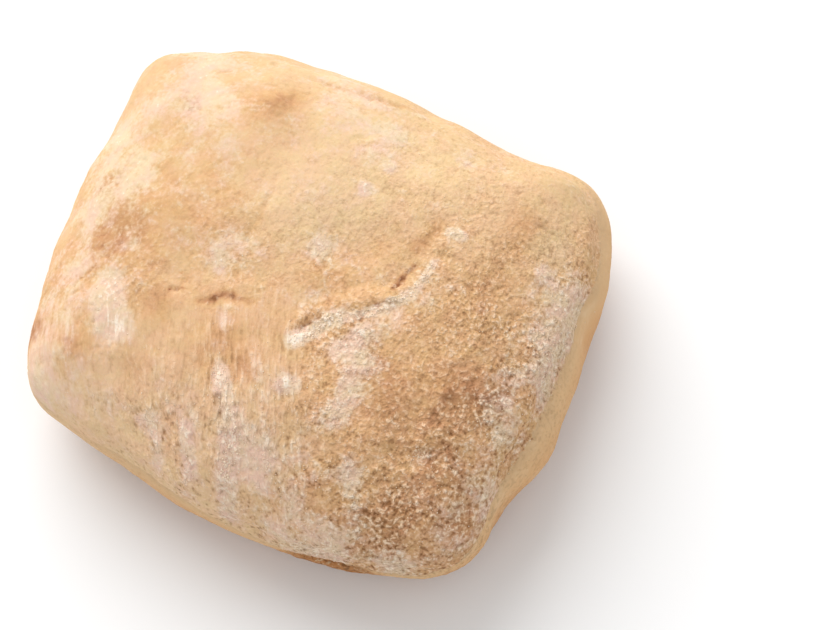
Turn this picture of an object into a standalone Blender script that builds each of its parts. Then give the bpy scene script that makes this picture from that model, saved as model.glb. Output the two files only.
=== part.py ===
"""A square ciabatta roll, lying on its flat base with the floured top up.

One solid. A grid of faces wraps the top and the sides, and a flat fan closes it underneath. Each corner
of a face is pushed out from the middle of the roll until it meets the section of a flat-bottomed pillow,
whose plan is a rounded quadrilateral. Swellings, hollows, seams and folds of the crust then move the
skin in or out. Metres, +Z up, origin at the middle of the base.
"""

import math

import bmesh
import bpy
import numpy as np
from mathutils import Vector, noise

MM = 0.001

# Overall size, in millimetres
LENGTH = 116.0  # along X
WIDTH = 100.5  # along Y
HEIGHT = 42.0  # base to the top of the dome
WAIST = 18.0  # height at which the roll is widest
BASE_SHARE = 0.86  # how much of the plan's reach rests flat on the base
BASE_CALM = 7.0  # height above the base over which the relief of the crust sets in

# How square the section is: 2 is an ellipse, more is flatter with tighter edges
TOP_FLATNESS = 3.0
TOP_FULLNESS = 2.0
BASE_FLATNESS = 8.0
BASE_FULLNESS = 2.0

# Faces of the grid that becomes the skin
CELLS_LONG = 46
CELLS_WIDE = 40
CELLS_HIGH = 20

# Plan of the waist, in millimetres: where each corner would be if it were sharp, then how far the
# side that follows it swells outward and how far that swelling leans towards its start
CORNERS = {
    "front_left": (-45.5, -53.0, 10.5, -1.5),
    "front_right": (57.0, -43.5, 7.5, -1.5),
    "back_right": (47.0, 56.0, 8.0, -3.5),
    "back_left": (-60.0, 35.5, 3.5, -1.0),
}
CORNER_ROUNDING = 7.3  # reach of the averaging that rounds the corners, in millimetres
OUTLINE_STEPS = 720
FARTHEST_RAY = 2.0  # no ray reaches further than this share of its length in the box
RAY_STEPS = 50
SMALLEST = 1e-9  # stands in for a length of nothing where one is divided by

# Soft swellings of the dough: middle (x, y, z), reach and height in millimetres, negative for a hollow
SWELLS = {
    "lobe_right_of_fold": (34.0, -4.0, 39.0, 15.0, 1.3),
    "lobe_front": (14.0, -30.0, 39.0, 13.0, 0.8),
    "lobe_back": (-12.0, 26.0, 39.0, 17.0, 0.9),
    "lobe_left": (-36.0, -8.0, 37.0, 13.0, 0.7),
    "hollow_before_fold": (10.0, 7.0, 42.0, 10.0, -1.6),
    "hollow_left": (-19.0, -14.0, 41.0, 9.0, -1.0),
    "hollow_front_right": (37.0, -32.0, 35.0, 8.0, -0.9),
    "right_side": (58.0, 19.0, 22.0, 8.0, -2.0),
    "back_left_corner": (-53.0, 35.0, 24.0, 8.0, 1.3),
    "right_near_corner": (55.0, -27.0, 18.0, 7.0, -1.8),
    "right_band": (58.0, -9.0, 19.0, 10.0, 1.7),
    "back_side": (25.0, 49.0, 26.0, 9.0, -1.5),
    "front_left_side": (-20.0, -48.0, 18.0, 13.0, -1.1),
    "front_side": (3.0, -50.0, 18.0, 8.0, 0.8),
}

# The floured top ends in an edge that runs round the roll, over a groove and then the paler side.
# Direction of each stop in degrees from +X, height of the groove and its depth in millimetres
SEAM = {
    "right": (0.0, 29.5, 1.5),
    "back_right": (40.0, 27.5, 0.9),
    "back": (75.0, 30.5, 1.2),
    "back_left_half": (120.0, 29.5, 1.0),
    "back_left": (148.0, 25.0, 0.3),
    "left": (182.0, 20.0, 0.3),
    "front_left": (222.0, 22.0, 0.4),
    "front": (262.0, 23.0, 0.9),
    "front_near_corner": (300.0, 22.0, 1.1),
    "front_right": (323.0, 19.0, 0.8),
    "right_front_half": (338.0, 28.0, 1.3),
}
SEAM_WIDTH = 1.6
LIP_SHARE = 0.6  # how far the edge above the groove stands out, as a share of the groove's depth

# Under the front edge is a recess, and below it the bottom crust stands out as a foot
RECESS_FROM = 15.0  # ends of both along X
RECESS_TO = 41.0
RECESS_FADE = 9.0  # length over which they set in at each end
RECESS_HEIGHT = 13.5
RECESS_DEPTH = 1.7
FOOT_HEIGHT = 7.0
FOOT_DEPTH = 1.3
RECESS_WIDTH = 2.6

# Folds of the top: points of the path in plan, then in millimetres how high the crust stands on the
# left of the path, how deep it sinks on its right, and how wide each of the two is
FOLDS = {
    "long": (((22.0, 21.0), (20.5, 12.0), (18.5, 2.5), (11.0, -4.5), (3.0, -14.5)), 1.3, 1.5, 2.0),
    "short": (((-5.0, -11.0), (-10.5, -12.5), (-16.5, -17.0)), 0.6, 1.3, 1.7),
    "streak": (((-10.5, -20.0), (-4.5, -31.0), (2.5, -41.0), (8.5, -47.5)), 0.9, 0.2, 1.9),
    "front_right": (((35.0, -12.0), (36.0, -22.0), (37.5, -34.0)), 0.5, 0.6, 1.9),
    "front_corner": (((45.0, -26.0), (39.0, -30.0), (32.0, -33.0)), 0.4, 0.7, 1.7),
    "rim": (((-40.0, -24.0), (-33.0, -22.0), (-26.0, -26.0)), 0.4, 0.4, 2.2),
}
PATH_STEPS = 40
FOLD_BLUNTNESS = 0.5  # how suddenly a fold sets in at its ends, less being more suddenly
FOLDS_FROM = 26.0  # height above which the folds have their whole depth

# Blisters: middle in plan, radius and height in millimetres
BLISTERS = {
    "large": (-23.5, 28.5, 4.0, 0.8),
    "small": (-38.5, 21.0, 3.0, 0.6),
    "middle": (-0.5, 4.5, 3.6, 0.5),
    "near_fold": (14.5, 21.5, 3.0, 0.4),
}

# Unevenness of the whole skin, coarse and fine: size of the waves and their height in millimetres
WAVES = {"coarse": (17.0, 1.1), "fine": (6.5, 0.45)}
WAVE_START = Vector((3.7, 8.1, 5.2))

CRUST_COLOUR = (0.68, 0.44, 0.23, 1.0)
CRUST_ROUGHNESS = 0.85


def outline():
    """The closed plan curve of the waist, in millimetres, as an array of points."""
    corners = list(CORNERS.values())
    share = np.linspace(0, 1, OUTLINE_STEPS // len(corners), endpoint=False)
    sides = []
    for here, following in zip(corners, corners[1:] + corners[:1]):
        start = np.array(here[:2])
        along = np.array(following[:2]) - start
        outward = np.array((along[1], -along[0])) / np.linalg.norm(along)
        swell = here[2] * np.sin(math.pi * share) + here[3] * np.sin(2 * math.pi * share)
        sides.append(start + np.outer(share, along) + np.outer(swell, outward))
    return rounded(np.concatenate(sides))


def rounded(points):
    """The closed curve with each point averaged with its neighbours, which rounds the corners."""
    spacing = np.linalg.norm(points - np.roll(points, 1, axis=0), axis=1).mean()
    waves = np.fft.fftfreq(len(points), spacing)
    keep = np.exp(-2 * (math.pi * CORNER_ROUNDING * waves) ** 2)
    turning = points[:, 0] + 1j * points[:, 1]
    smooth = np.fft.ifft(np.fft.fft(turning) * keep)
    return np.column_stack((smooth.real, smooth.imag))


def plan_radius(x, y):
    """Distance from the middle to the waist, in the direction of each (x, y)."""
    curve = outline()
    angles = np.arctan2(curve[:, 1], curve[:, 0])
    order = np.argsort(angles)
    reach = np.hypot(curve[order, 0], curve[order, 1])
    return np.interp(np.arctan2(y, x), angles[order], reach, period=2 * math.pi)


def grid_of_faces():
    """A box of even faces, with its middle at the waist and a fan of faces for its bottom."""
    mesh = bmesh.new()
    low = (-LENGTH / 2, -WIDTH / 2, -WAIST / BASE_SHARE)
    high = (LENGTH / 2, WIDTH / 2, HEIGHT - WAIST)
    cells = (CELLS_LONG, CELLS_WIDE, CELLS_HIGH)
    made = {}

    def corner(*place):
        if place not in made:
            share = [part / whole for part, whole in zip(place, cells)]
            made[place] = mesh.verts.new([a + (b - a) * s for a, b, s in zip(low, high, share)])
        return made[place]

    for i in range(CELLS_LONG):
        for j in range(CELLS_WIDE):
            ring = ((i, j), (i + 1, j), (i + 1, j + 1), (i, j + 1))
            mesh.faces.new([corner(*place, CELLS_HIGH) for place in ring])
    edge = [(i, 0) for i in range(CELLS_LONG)]
    edge += [(CELLS_LONG, j) for j in range(CELLS_WIDE)]
    edge += [(CELLS_LONG - i, CELLS_WIDE) for i in range(CELLS_LONG)]
    edge += [(0, CELLS_WIDE - j) for j in range(CELLS_WIDE)]
    for here, following in zip(edge, edge[1:] + edge[:1]):
        for k in range(CELLS_HIGH):
            mesh.faces.new([
                corner(*here, k), corner(*following, k),
                corner(*following, k + 1), corner(*here, k + 1),
            ])
    middle = mesh.verts.new((0, 0, low[2]))
    for here, following in zip(edge, edge[1:] + edge[:1]):
        mesh.faces.new([corner(*following, 0), corner(*here, 0), middle])
    return mesh


def pushed_to_skin(box):
    """Where the ray from the middle of the roll through each point of the box meets the skin.

    The lower a point is, the more its ray is bent from the box's plan to the roll's own, so that the
    lowest ring of points lands on the rim of the flat base.
    """
    reach = plan_radius(box[:, 0], box[:, 1])
    away = np.maximum(np.hypot(box[:, 0], box[:, 1]), SMALLEST)
    share = np.abs(box[:, :2] / (LENGTH / 2, WIDTH / 2)).max(axis=1)
    bent = (HEIGHT - WAIST - box[:, 2]) / (HEIGHT - WAIST + WAIST / BASE_SHARE)
    plan_scale = 1 + bent * (reach * share / away - 1)
    flat = plan_scale * away / reach
    up = box[:, 2] >= 0
    base_depth = WAIST / (1 - BASE_SHARE ** BASE_FLATNESS) ** (1 / BASE_FULLNESS)
    tall = np.abs(box[:, 2]) / np.where(up, HEIGHT - WAIST, base_depth)
    power_flat = np.where(up, TOP_FLATNESS, BASE_FLATNESS)
    power_tall = np.where(up, TOP_FULLNESS, BASE_FULLNESS)
    low, high = np.zeros(len(box)), np.full(len(box), FARTHEST_RAY)
    for _ in range(RAY_STEPS):
        middle = (low + high) / 2
        outside = (flat * middle) ** power_flat + (tall * middle) ** power_tall > 1
        high = np.where(outside, middle, high)
        low = np.where(outside, low, middle)
    box = box * np.column_stack((plan_scale, plan_scale, np.ones(len(box))))
    return box * low[:, None] + (0, 0, WAIST)


def bell(distance, reach):
    """1 in the middle, falling smoothly to nothing at about twice the reach."""
    return np.exp(-(distance / reach) ** 2)


def step_up(value, start, end):
    """0 below the start, 1 above the end, smooth between them."""
    share = np.clip((value - start) / (end - start), 0, 1)
    return share * share * (3 - 2 * share)


def swelling(skin):
    """Height of the soft swellings and hollows of the dough."""
    total = np.zeros(len(skin))
    for x, y, z, reach, height in SWELLS.values():
        total += height * bell(np.linalg.norm(skin - (x, y, z), axis=1), reach)
    return total


def seam(skin):
    """Groove round the roll under the edge of the floured top, and the lip above it."""
    bearings, heights, depths = np.array(list(SEAM.values())).T
    bearing = np.degrees(np.arctan2(skin[:, 1], skin[:, 0]))
    above = skin[:, 2] - np.interp(bearing, bearings, heights, period=360)
    depth = np.interp(bearing, bearings, depths, period=360)
    lip = LIP_SHARE * bell(above - 2 * SEAM_WIDTH, SEAM_WIDTH)
    return depth * (lip - bell(above, SEAM_WIDTH))


def recess(skin):
    """Recess under the front edge, with the bottom crust standing out below it."""
    x, y, z = skin.T
    along = step_up(x - RECESS_FROM, 0, RECESS_FADE) * step_up(RECESS_TO - x, 0, RECESS_FADE)
    dent = RECESS_DEPTH * bell(z - RECESS_HEIGHT, RECESS_WIDTH)
    foot = FOOT_DEPTH * bell(z - FOOT_HEIGHT, RECESS_WIDTH)
    return (foot - dent) * along * (y < 0)


def smooth_path(points):
    """Even steps along a smooth curve through the points of a fold."""
    points = np.array(points)
    ends = (2 * points[0] - points[1], 2 * points[-1] - points[-2])
    points = np.vstack((ends[0], points, ends[1]))
    share = np.linspace(0, 1, PATH_STEPS // (len(points) - 3), endpoint=False)[:, None]
    curve = []
    for a, b, c, d in zip(points, points[1:], points[2:], points[3:]):
        bend = (2 * a - 5 * b + 4 * c - d) * share ** 2 + (3 * b - a - 3 * c + d) * share ** 3
        curve.append(b + (c - a) * share / 2 + bend / 2)
    return np.concatenate(curve + [points[-2:-1]])


def fold(skin, path, raised, sunk, width):
    """Relief of one fold: the crust raised on the left of the path and sunk on its right."""
    curve = smooth_path(path)
    forward = np.gradient(curve, axis=0)
    forward /= np.linalg.norm(forward, axis=1, keepdims=True)
    away = skin[:, None, :2] - curve
    nearest = np.linalg.norm(away, axis=2).argmin(axis=1)
    away = away[np.arange(len(skin)), nearest]
    forward = forward[nearest]
    leftward = forward[:, 0] * away[:, 1] - forward[:, 1] * away[:, 0]
    past_end = (forward * away).sum(axis=1)
    fade = np.sin(math.pi * (nearest + 0.5) / len(curve)) ** FOLD_BLUNTNESS
    profile = raised * bell(leftward - width, width) - sunk * bell(leftward + width / 2, width)
    return profile * fade * bell(past_end, width)


def creases(skin):
    """Relief of all the folds and blisters of the top."""
    total = np.zeros(len(skin))
    for path, raised, sunk, width in FOLDS.values():
        total += fold(skin, path, raised, sunk, width)
    for x, y, radius, height in BLISTERS.values():
        total += height * bell(np.hypot(skin[:, 0] - x, skin[:, 1] - y), radius)
    return total * step_up(skin[:, 2], WAIST, FOLDS_FROM)


def unevenness(skin):
    """Slow and quick waves over the whole skin."""
    total = np.zeros(len(skin))
    for size, height in WAVES.values():
        total += [height * noise.noise(Vector(place) / size + WAVE_START) for place in skin]
    return total


def settled(skin, base):
    """The skin lying on its base, brought to the overall size and centred over the origin."""
    skin = np.where(base[:, None], skin * (1, 1, 0), skin)
    low, high = skin.min(axis=0), skin.max(axis=0)
    middle = (low + high) / 2 * (1, 1, 0)
    return (skin - middle) * (LENGTH, WIDTH, HEIGHT) / (high - low)


def crust_material():
    material = bpy.data.materials.new("crust")
    material.use_nodes = True
    shader = material.node_tree.nodes["Principled BSDF"]
    shader.inputs["Base Color"].default_value = CRUST_COLOUR
    shader.inputs["Roughness"].default_value = CRUST_ROUGHNESS
    shader.inputs["Metallic"].default_value = 0.0
    return material


def move(mesh, skin):
    """Puts each corner of the mesh in its place on the skin."""
    for vertex, place in zip(mesh.verts, skin):
        vertex.co = place
    mesh.normal_update()


def shaped(mesh):
    """The places of the mesh's corners on the finished skin, in millimetres."""
    box = np.array([vertex.co for vertex in mesh.verts])
    base = np.isclose(box[:, 2], box[:, 2].min())
    skin = pushed_to_skin(box)
    for relief in (swelling, seam, recess, creases, unevenness):
        move(mesh, skin)
        outward = np.array([vertex.normal for vertex in mesh.verts])
        height = relief(skin) * step_up(skin[:, 2], 0, BASE_CALM)
        skin = skin + height[:, None] * outward
    return settled(skin, base)


def main():
    for thing in list(bpy.data.objects):
        bpy.data.objects.remove(thing)
    mesh = grid_of_faces()
    move(mesh, shaped(mesh) * MM)
    data = bpy.data.meshes.new("ciabatta_roll")
    mesh.to_mesh(data)
    mesh.free()
    data.shade_smooth()
    data.materials.append(crust_material())
    roll = bpy.data.objects.new("ciabatta_roll", data)
    bpy.context.scene.collection.objects.link(roll)


main()
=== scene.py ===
import math

import bmesh
import bpy
import numpy as np
from mathutils import Matrix, Vector
from mathutils.bvhtree import BVHTree


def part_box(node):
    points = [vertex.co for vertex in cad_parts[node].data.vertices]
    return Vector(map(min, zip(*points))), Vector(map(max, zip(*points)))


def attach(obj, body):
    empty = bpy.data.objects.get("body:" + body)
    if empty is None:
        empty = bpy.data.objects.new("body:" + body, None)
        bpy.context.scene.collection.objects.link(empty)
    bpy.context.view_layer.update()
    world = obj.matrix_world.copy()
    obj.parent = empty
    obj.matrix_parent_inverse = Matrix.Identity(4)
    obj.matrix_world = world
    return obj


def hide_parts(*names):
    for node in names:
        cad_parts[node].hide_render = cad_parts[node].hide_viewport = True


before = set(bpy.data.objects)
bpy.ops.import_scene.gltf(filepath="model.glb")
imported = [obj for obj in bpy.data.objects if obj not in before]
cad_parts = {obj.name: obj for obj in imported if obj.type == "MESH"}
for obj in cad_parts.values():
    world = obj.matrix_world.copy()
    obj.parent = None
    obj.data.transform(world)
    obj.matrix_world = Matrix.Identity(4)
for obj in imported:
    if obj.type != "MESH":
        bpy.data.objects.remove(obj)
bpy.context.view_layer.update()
mm = 0.001
print("frame loaded")


# helpers for node trees

class Wire:  # a node's output; sums on it add Math nodes
    def __init__(self, maker, socket):
        self.maker = maker
        self.socket = socket

    def __add__(self, other):
        return self.maker.combine("ADD", self, other)

    def __sub__(self, other):
        return self.maker.combine("SUBTRACT", self, other)

    def __rsub__(self, other):
        return self.maker.combine("SUBTRACT", other, self)

    def __mul__(self, other):
        return self.maker.combine("MULTIPLY", self, other)

    def __truediv__(self, other):
        return self.maker.combine("DIVIDE", self, other)

    def __rtruediv__(self, other):
        return self.maker.combine("DIVIDE", other, self)

    def __rpow__(self, other):
        return self.maker.combine("POWER", other, self)

    def __abs__(self):
        return self.maker.node("ShaderNodeMath", {"operation": "ABSOLUTE"}, {0: self})

    __radd__ = __add__
    __rmul__ = __mul__


class NodeMaker:
    def __init__(self, tree):
        self.tree = tree

    def node(self, kind, settings=None, sockets=None, out=0):
        made = self.tree.nodes.new(kind)
        for name, value in (settings or {}).items():
            if name == "stops":
                self.setStops(made.color_ramp, value)
            else:
                setattr(made, name, value)
        for name, value in (sockets or {}).items():
            self.feed(made.inputs[name], value)
        return Wire(self, made.outputs[out]) if made.outputs else None

    def feed(self, socket, value):
        if isinstance(value, Wire):
            self.tree.links.new(value.socket, socket)
        else:
            socket.default_value = value

    def combine(self, operation, first, second):  # of two numbers
        return self.node("ShaderNodeMath", {"operation": operation}, {0: first, 1: second})

    def setStops(self, ramp, stops):
        while len(ramp.elements) < len(stops):
            ramp.elements.new(1.0)
        for element, (place, colour) in zip(ramp.elements, stops):
            element.position = place
            element.color = colour

    def vector(self, operation, first, second):
        out = 1 if operation == "DISTANCE" else 0
        return self.node("ShaderNodeVectorMath", {"operation": operation}, {0: first, 1: second}, out)

    def mix(self, share, first, second, blend="MIX"):  # of two colours
        settings = {"data_type": "RGBA", "blend_type": blend, "clamp_factor": True}
        return self.node("ShaderNodeMix", settings, {0: share, 6: first, 7: second}, 2)

    def smooth(self, value, low, high):  # 0 below low and 1 above high
        settings = {"interpolation_type": "SMOOTHSTEP"}
        return self.node("ShaderNodeMapRange", settings, {0: value, 1: low, 2: high})

    def noise(self, place, size, detail=2.0, roughness=0.5, seed=0.0, out=0):
        sockets = {"Vector": place, "W": seed, "Scale": 1 / size}
        sockets.update({"Detail": detail, "Roughness": roughness})
        return self.node("ShaderNodeTexNoise", {"noise_dimensions": "4D"}, sockets, out)

    def attribute(self, name):
        if self.tree.type == "SHADER":
            return self.node("ShaderNodeAttribute", {"attribute_name": name}, out="Fac")
        return self.node("GeometryNodeInputNamedAttribute", {"data_type": "FLOAT"}, {"Name": name})


def geometryTree(name, sizes):  # a tree with one input for each size, and the wires of those inputs
    kinds = {
        float: "NodeSocketFloat",
        int: "NodeSocketInt",
        bpy.types.Object: "NodeSocketObject",
        bpy.types.Material: "NodeSocketMaterial",
    }
    tree = bpy.data.node_groups.new(name, "GeometryNodeTree")
    tree.interface.new_socket("Geometry", in_out="INPUT", socket_type="NodeSocketGeometry")
    for label, value in sizes.items():
        tree.interface.new_socket(label, in_out="INPUT", socket_type=kinds[type(value)])
    tree.interface.new_socket("Geometry", in_out="OUTPUT", socket_type="NodeSocketGeometry")
    entry = tree.nodes.new("NodeGroupInput")
    maker = NodeMaker(tree)
    wires = {socket.name: Wire(maker, socket) for socket in entry.outputs if socket.name}
    return maker, wires


def closeTree(maker, geometry, material):
    real = maker.node("GeometryNodeRealizeInstances", sockets={"Geometry": geometry})
    dressed = maker.node("GeometryNodeSetMaterial", sockets={"Geometry": real, "Material": material})
    maker.node("NodeGroupOutput", sockets={"Geometry": dressed})
    return maker.tree


def grown(thing, tree, sizes):  # the plain mesh that a tree makes of an object
    modifier = thing.modifiers.new(tree.name, "NODES")
    modifier.node_group = tree
    for item in tree.interface.items_tree:
        if item.in_out == "INPUT" and item.name in sizes:
            modifier[item.identifier] = sizes[item.name]
    graph = bpy.context.evaluated_depsgraph_get()
    mesh = bpy.data.meshes.new_from_object(thing.evaluated_get(graph), depsgraph=graph)
    thing.modifiers.remove(modifier)
    return mesh


def screen(red, green, blue):  # a colour as a screen shows it, from 0 to 255
    def linear(value):
        share = value / 255
        return share / 12.92 if share <= 0.04045 else ((share + 0.055) / 1.055) ** 2.4
    return (linear(red), linear(green), linear(blue), 1.0)


def newMaterial(name, finish):  # a material with its plain settings, and its shader
    material = bpy.data.materials.new(name)
    material.use_nodes = True
    shader = material.node_tree.nodes["Principled BSDF"]
    for label, value in finish.items():
        shader.inputs[label].default_value = value
    return material, shader


def addObject(name, mesh):
    made = bpy.data.objects.new(name, mesh)
    bpy.context.scene.collection.objects.link(made)
    return made


def smoothStep(value, low, high):
    share = np.clip((value - low) / (high - low), 0, 1)
    return share * share * (3 - 2 * share)


# the crust's shell, copied from the solid

shell = {
    "node": "ciabatta_roll",
    "mergeWithin": 0.001,  # mm, also how low the flat foot lies
    "mostBend": 60,  # degrees between two triangles that make a quad
    "mostSkew": 180,
    "footRings": 3,
    "footRingWidth": 2.5,  # mm
    "levels": 2,
    "grainRoom": 0.12,  # mm left round the crust for the flour that stands on it
}


def quadShell(settings):  # the solid's mesh as quads, with its flat foot as rings
    work = bmesh.new()
    work.from_mesh(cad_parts[settings["node"]].data)
    low = settings["mergeWithin"] * mm
    bmesh.ops.remove_doubles(work, verts=work.verts, dist=low)
    flat = [face for face in work.faces if all(vert.co.z < low for vert in face.verts)]
    foot = bmesh.ops.dissolve_faces(work, faces=flat)["region"]
    loose = [face for face in work.faces if len(face.verts) == 3]
    bend, skew = math.radians(settings["mostBend"]), math.radians(settings["mostSkew"])
    bmesh.ops.join_triangles(work, faces=loose, angle_face_threshold=bend, angle_shape_threshold=skew)
    for _ in range(settings["footRings"]):
        bmesh.ops.inset_individual(work, faces=foot, thickness=settings["footRingWidth"] * mm)
    mesh = bpy.data.meshes.new("crustShell")
    work.to_mesh(mesh)
    work.free()
    return mesh


def rounded(mesh, levels):
    thing = addObject("crustShell", mesh)
    modifier = thing.modifiers.new("rounding", "SUBSURF")
    modifier.levels = levels
    modifier.render_levels = levels
    graph = bpy.context.evaluated_depsgraph_get()
    fine = bpy.data.meshes.new_from_object(thing.evaluated_get(graph), depsgraph=graph)
    bpy.data.objects.remove(thing)
    return fine


crustMesh = rounded(quadShell(shell), shell["levels"])
spots = np.empty(len(crustMesh.vertices) * 3)
crustMesh.vertices.foreach_get("co", spots)
spots = spots.reshape(-1, 3) / mm  # every vertex of the shell, in mm
skin = BVHTree.FromPolygons(
    [vert.co[:] for vert in crustMesh.vertices],
    [tuple(face.vertices) for face in crustMesh.polygons],
)
print("crust shell:", len(crustMesh.polygons), "faces")


# marks on the crust, in mm; each is a height, a reach and its points seen from above

lines = {  # points in mm that both a mark and a colour follow
    "foldMiddle": [(14.4, -3.6), (13.1, -5.0), (11.2, -7.0), (10, -8.4)],
    "foldLower": [(9.3, -6.7), (8.6, -8.4), (7.9, -10.3), (6.7, -12.2), (5.1, -14.2), (4.2, -15.6)],
    "shortLip": [(-13.8, -16.5), (-12.1, -15.5), (-10.4, -14.5), (-8.0, -13.9)],
    "foldHollow": [(18.4, 18.8), (18.3, 17.7), (17.6, 15.4), (16.9, 13.4)],
    "foldCrackMiddle": [(15.6, -1.2), (15.2, -2.3), (14.4, -4.1), (13.9, -5.7)],
    "foldCrackLower": [(7.3, -8.2), (6.0, -10.0), (4.8, -11.7), (4.2, -13.4)],
    "shortLeft": [(-16.2, -16.2), (-14.7, -15.3), (-13.6, -14.6)],
    "shortMiddle": [(-13.7, -13.9), (-12.6, -12.9), (-11.1, -12.3)],
    "shortRight": [(-10.3, -12.7), (-8.4, -12.2), (-6.8, -11.9)],
    "upperCut": [(-14.5, 10), (-13.9, 6.8), (-13.6, 4.1), (-13.8, 1), (-14.3, -1.9)],
    "leftCrack": [(-22.7, -16.5), (-21.5, -15.9), (-20.5, -15.2)],
    "leftCurl": [(-22.4, -12.4), (-21.8, -13.3), (-20.9, -13.6), (-20.6, -12.7)],
    "backInner": [(-19.1, 39.8), (-13.1, 39.7), (-9.6, 40.2), (-3.2, 41.2), (1.0, 43.6)],
    "slantLow": [(37.0, -28.6), (38.0, -24.3), (38.3, -19.6)],
    "slantHigh": [(35.1, -17.2), (35.6, -13.1), (35.7, -9.8)],
}
presses = {  # broad marks that lower the solid's smooth folds
    "fold": (-0.8, 2.3, [
        (22.8, 20.8), (22.2, 16.4), (21.2, 11.7), (20.3, 6), (19.2, 1.8),
        (16.6, -0.9), (12, -4.8), (8, -9.6), (4.2, -14.6),
    ]),
    "shortFold": (-0.35, 1.8, [(-5, -10.8), (-10.4, -12.2), (-16.4, -16.7)]),
    "streak": (-0.45, 2.2, [
        (-7, -18.1), (-3.5, -24.5), (-1, -29.1), (2.5, -34), (5.8, -38.6), (9, -42),
    ]),
    "frontRight": (-0.7, 2.2, [(36, -11), (36.4, -14.3), (36.6, -17.5)]),
}
fills = {  # and marks that fill the hollows beside them
    "fold": (0.3, 2.2, [
        (18.6, 19.5), (17.6, 17), (16.6, 12), (15.2, 6), (13.4, 1.8),
        (10, -1.6), (6, -6.4), (1.6, -11),
    ]),
    "frontRight": (0.6, 2.2, [(34, -21.5), (33.4, -24), (34, -27)]),
    "shortFold": (0.3, 2.0, [(-6.6, -7.4), (-11.8, -8.8), (-17, -12.5)]),
}
ridges = {
    "foldUpper": (0.20, 0.75, [
        (20.6, 18.6), (21.0, 16.7), (21.2, 13.7), (21.0, 10.6), (20.9, 7.2), (20.3, 4.0), (18.8, 1.4),
        (17.2, -1.0), (15.1, -3.0),
    ]),
    "foldMiddle": (0.2, 0.5, lines["foldMiddle"]),
    "foldLower": (0.18, 0.7, lines["foldLower"]),
    "shortLip": (0.10, 0.7, lines["shortLip"]),
    "streak": (0.2, 0.6, [
        (-5.7, -26.9), (-3.5, -30.2), (-1.6, -32.5), (0, -34.7), (1.4, -37.2),
        (2.0, -39.6), (2.7, -42.1), (3.7, -44.3),
    ]),
    "streakSide": (0.15, 0.5, [(-2.6, -29), (-0.5, -31.1), (0.9, -33.5), (2.3, -35.8), (3.6, -38.4)]),
}
furrows = {
    "foldHollow": (-0.12, 0.5, lines["foldHollow"]),
    "foldCrackUpper": (-0.55, 0.5, [(18.7, 10.6), (18.0, 8.4), (17.4, 7.1), (17.0, 5.4), (16.6, 3.5)]),
    "foldCrackMiddle": (-0.2, 0.4, lines["foldCrackMiddle"]),
    "foldCrackLower": (-0.45, 0.45, lines["foldCrackLower"]),
    "shortLeft": (-0.18, 0.6, lines["shortLeft"]),
    "shortMiddle": (-0.2, 0.7, lines["shortMiddle"]),
    "shortRight": (-0.15, 0.6, lines["shortRight"]),
    "upperCut": (-0.35, 0.4, lines["upperCut"]),
    "leftCrack": (-0.35, 0.35, lines["leftCrack"]),
    "leftCurl": (-0.3, 0.35, lines["leftCurl"]),
    "streakPits": (-0.35, 0.4, [
        (-9.9, -22.6), (-7.4, -26.4), (-5, -30.2), (-2.8, -33.4), (-0.6, -36.4), (0.6, -39.4),
    ]),
    "backOuter": (-0.4, 0.5, [
        (-32.4, 38.6), (-27.1, 39.1), (-22.4, 39.2), (-17.2, 39.4), (-12.8, 39.2),
    ]),
    "backInner": (-0.45, 0.5, lines["backInner"]),
    "backNick": (-0.25, 0.5, [(-39.8, 31), (-38, 32.1), (-35.9, 33.1)]),
    "smallTop": (-0.2, 0.4, [(-5.7, 27.3), (-4.8, 29.1), (-3.9, 31.1)]),
    "wrinkleHigh": (-0.25, 0.4, [(35.2, 30.3), (37.9, 29.6), (40.2, 28.1)]),
    "wrinkleLow": (-0.2, 0.4, [(30.2, 24.4), (33.5, 24.5), (36.8, 23.8)]),
    "slantLow": (-0.1, 0.5, lines["slantLow"]),
    "slantHigh": (-0.1, 0.5, lines["slantHigh"]),
    "nearCorner": (-0.2, 0.6, [(40.8, -27.6), (44.4, -26.1), (48.4, -24.3)]),
    "frontNick": (-0.35, 0.5, [(24.8, -44.3), (25.6, -45.4), (26.6, -46.4)]),
    "leftEdge": (-0.25, 0.5, [(-47, -29), (-45.6, -33), (-44.4, -36.2), (-43.3, -39)]),
}
blisters = {  # a height, a reach and one point
    "foldHead": (0.3, 1.3, [(21.9, 19.1)]),
    "largeRise": (0.35, 2.6, [(-23.2, 29)]),
    "small": (-0.15, 1.0, [(-39.6, 21.5)]),
    "smallSide": (-0.25, 0.8, [(-38.0, 23.6)]),
    "large": (-0.15, 0.9, [(-24.8, 26.4)]),
    "largeSide": (-0.25, 0.8, [(-21.9, 31.8)]),
    "white": (0.3, 1.0, [(2.3, 19.8)]),
    "whiteBack": (0.25, 0.9, [(4.2, 26.4)]),
    "front": (0.35, 1.1, [(7.5, -23.6)]),
    "right": (0.3, 1.4, [(41, 21)]),
    "ringLeft": (-0.2, 0.6, [(-24.7, 13.5)]),
    "ringTop": (-0.2, 0.5, [(-5.6, 19.7)]),
    "bowlRing": (-0.3, 0.6, [(15.5, -7.9)]),
}
rings = {  # spots with a low edge round them: height, half the edge's width, middle and radius
    "middle": (-0.14, 0.5, [(-0.7, 4.1)], 3.4),
    "foldBack": (-0.10, 0.45, [(14.5, 21.5)], 2.8),
    "blister": (-0.14, 0.5, [(-24.4, 27.4)], 2.0),
    "blisterSmall": (-0.10, 0.5, [(-39.2, 21.8)], 1.5),
}
marking = {
    "pointsToMm": 4,
    "unevenness": 0.85,  # share of its height that a line gains and loses on its way
    "sway": 0.6,  # mm that a line strays from its points
    "fadeShare": 0.12,  # share of a line over which each end rises
    "knotEvery": 5,  # points between two turns of the unevenness
    "fewestKnots": 3,
    "seed": 11,
}


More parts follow.
